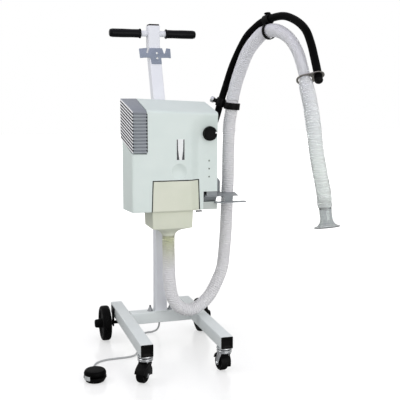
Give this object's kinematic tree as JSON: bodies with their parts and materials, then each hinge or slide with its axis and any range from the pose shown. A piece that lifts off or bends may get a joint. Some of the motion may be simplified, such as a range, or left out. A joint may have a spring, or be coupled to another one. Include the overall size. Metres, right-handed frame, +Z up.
{
  "type": "mobile suction unit",
  "caption": "Blower housing with filter drawer and louvres on a wheeled stand, with a ribbed suction hose held by a bent swivelling arm, a clear funnel and a foot switch on a cable.",
  "frame": {"origin": "on the floor, in the middle of the box of everything but the hose, its funnel and the foot cable", "axes": "+Z up, -Y towards the front with the drawer and knob, +X to the right of someone facing that front"},
  "size_m": [0.6959, 0.7586, 1.1238],
  "materials": {
    "white_paint": "satin powder coat",
    "housing_plastic": "fine satin moulding",
    "grille_plastic": "satin moulding",
    "cream_plastic": "satin moulding",
    "black_plastic": "satin moulding",
    "black_rubber": "matt",
    "zinc": "bright zinc plate",
    "sheet_steel": "brushed",
    "hose_plastic": "translucent, ribbed",
    "clear_plastic": "clear, glossy",
    "board": "circuit board",
    "paper": "pleated paper",
    "motor_case": "cast",
    "lens": "clear lens",
    "cable": "smooth sheath"
  },
  "bodies": {
    "stand": {"leg_left": "white_paint", "leg_right": "white_paint", "cross_tube": "white_paint", "mast": "white_paint", "handle_bar": "white_paint", "housing_cover": "housing_plastic", "housing_back": "housing_plastic", "louvre_grille": "grille_plastic", "inlet_box": "cream_plastic", "cap_front_left": "black_plastic", "cap_front_right": "black_plastic", "cap_rear_left": "black_plastic", "cap_rear_right": "black_plastic", "mast_cap": "black_plastic", "rear_bracket_left": "black_plastic", "rear_bracket_right": "black_plastic", "mains_inlet": "black_plastic", "blower_casing": "black_plastic", "arm_bracket": "black_plastic", "foot_switch_base": "black_plastic", "grip_left": "black_rubber", "grip_right": "black_rubber", "cable_grommet": "black_rubber", "caster_head_left": "zinc", "caster_head_right": "zinc", "hook_plate": "sheet_steel", "hose_bracket": "sheet_steel", "pedal_spring": "sheet_steel", "hose_lower": "hose_plastic", "control_board": "board", "motor": "motor_case", "indicator_1": "lens", "indicator_2": "lens", "indicator_3": "lens", "foot_cable": "cable"},
    "caster_left": {"caster_fork_left": "zinc", "caster_hood_left": "black_plastic"},
    "caster_right": {"caster_fork_right": "zinc", "caster_hood_right": "black_plastic"},
    "caster_wheel_left": {"caster_wheel_left": "black_rubber"},
    "caster_wheel_right": {"caster_wheel_right": "black_rubber"},
    "rear_wheel_left": {"rear_wheel_left": "black_rubber"},
    "rear_wheel_right": {"rear_wheel_right": "black_rubber"},
    "speed_knob": {"speed_knob": "black_plastic"},
    "filter_drawer": {"filter_drawer": "cream_plastic", "filter_pack": "paper"},
    "foot_pedal": {"foot_pedal": "black_plastic"},
    "arm": {"support_arm": "black_plastic", "arm_end_cap": "black_plastic", "ring_plate": "sheet_steel", "hose_clamp_lower": "black_plastic", "hose_clamp_upper": "black_plastic", "hose_upper": "hose_plastic", "suction_nozzle": "clear_plastic"},
    "clamp_screw_lower": {"clamp_screw_lower": "sheet_steel"},
    "clamp_screw_upper": {"clamp_screw_upper": "black_plastic"},
    "impeller": {"impeller": "black_plastic"}
  },
  "joints": [
    {"name": "caster_left_swivel", "type": "hinge", "parent": "stand", "child": "caster_left", "pos_m": [-0.15227, -0.13641, 0.07], "axis": [0, 0, 1], "continuous": true},
    {"name": "caster_left_roll", "type": "hinge", "parent": "caster_left", "child": "caster_wheel_left", "pos_m": [-0.16384, -0.1502, 0.026], "axis": [-0.766, 0.6428, 0], "continuous": true},
    {"name": "rear_left_roll", "type": "hinge", "parent": "stand", "child": "rear_wheel_left", "pos_m": [-0.20277, 0.27859, 0.0615], "axis": [1, 0, 0], "continuous": true},
    {"name": "caster_right_swivel", "type": "hinge", "parent": "stand", "child": "caster_right", "pos_m": [0.10273, -0.13641, 0.07], "axis": [0, 0, 1], "continuous": true},
    {"name": "caster_right_roll", "type": "hinge", "parent": "caster_right", "child": "caster_wheel_right", "pos_m": [0.10022, -0.11859, 0.026], "axis": [0.9903, 0.1392, 0], "continuous": true},
    {"name": "rear_right_roll", "type": "hinge", "parent": "stand", "child": "rear_wheel_right", "pos_m": [0.15323, 0.27859, 0.0615], "axis": [1, 0, 0], "continuous": true},
    {"name": "knob_turn", "type": "hinge", "parent": "stand", "child": "speed_knob", "pos_m": [0.10223, 0.01959, 0.744], "axis": [0, 1, 0], "range_deg": [-215, 55]},
    {"name": "drawer_slide", "type": "slide", "parent": "stand", "child": "filter_drawer", "axis": [0, -1, 0], "range_m": [0, 0.11]},
    {"name": "pedal_press", "type": "slide", "parent": "stand", "child": "foot_pedal", "axis": [0, 0, -1], "range_m": [0, 0.004], "stiffness_N_per_m": 1500, "springref_m": -0.003, "deforming": ["pedal_spring"]},
    {"name": "arm_swivel", "type": "hinge", "parent": "stand", "child": "arm", "pos_m": [0.16123, 0.17759, 0.66], "axis": [0, 0, 1], "range_deg": [-45, 45], "deforming": ["hose_lower"]},
    {"name": "clamp_lower_turn", "type": "hinge", "parent": "arm", "child": "clamp_screw_lower", "pos_m": [0.18998, 0.16805, 0.84261], "axis": [-0.7311, 0.6144, 0.2966], "continuous": true},
    {"name": "clamp_upper_turn", "type": "hinge", "parent": "arm", "child": "clamp_screw_upper", "pos_m": [0.26904, -0.05334, 1.10123], "axis": [-0.0463, 0.1548, 0.9869], "continuous": true},
    {"name": "blower_spin", "type": "hinge", "parent": "stand", "child": "impeller", "pos_m": [-0.01277, 0.09159, 0.65], "axis": [0, 0, 1], "continuous": true}
  ]
}
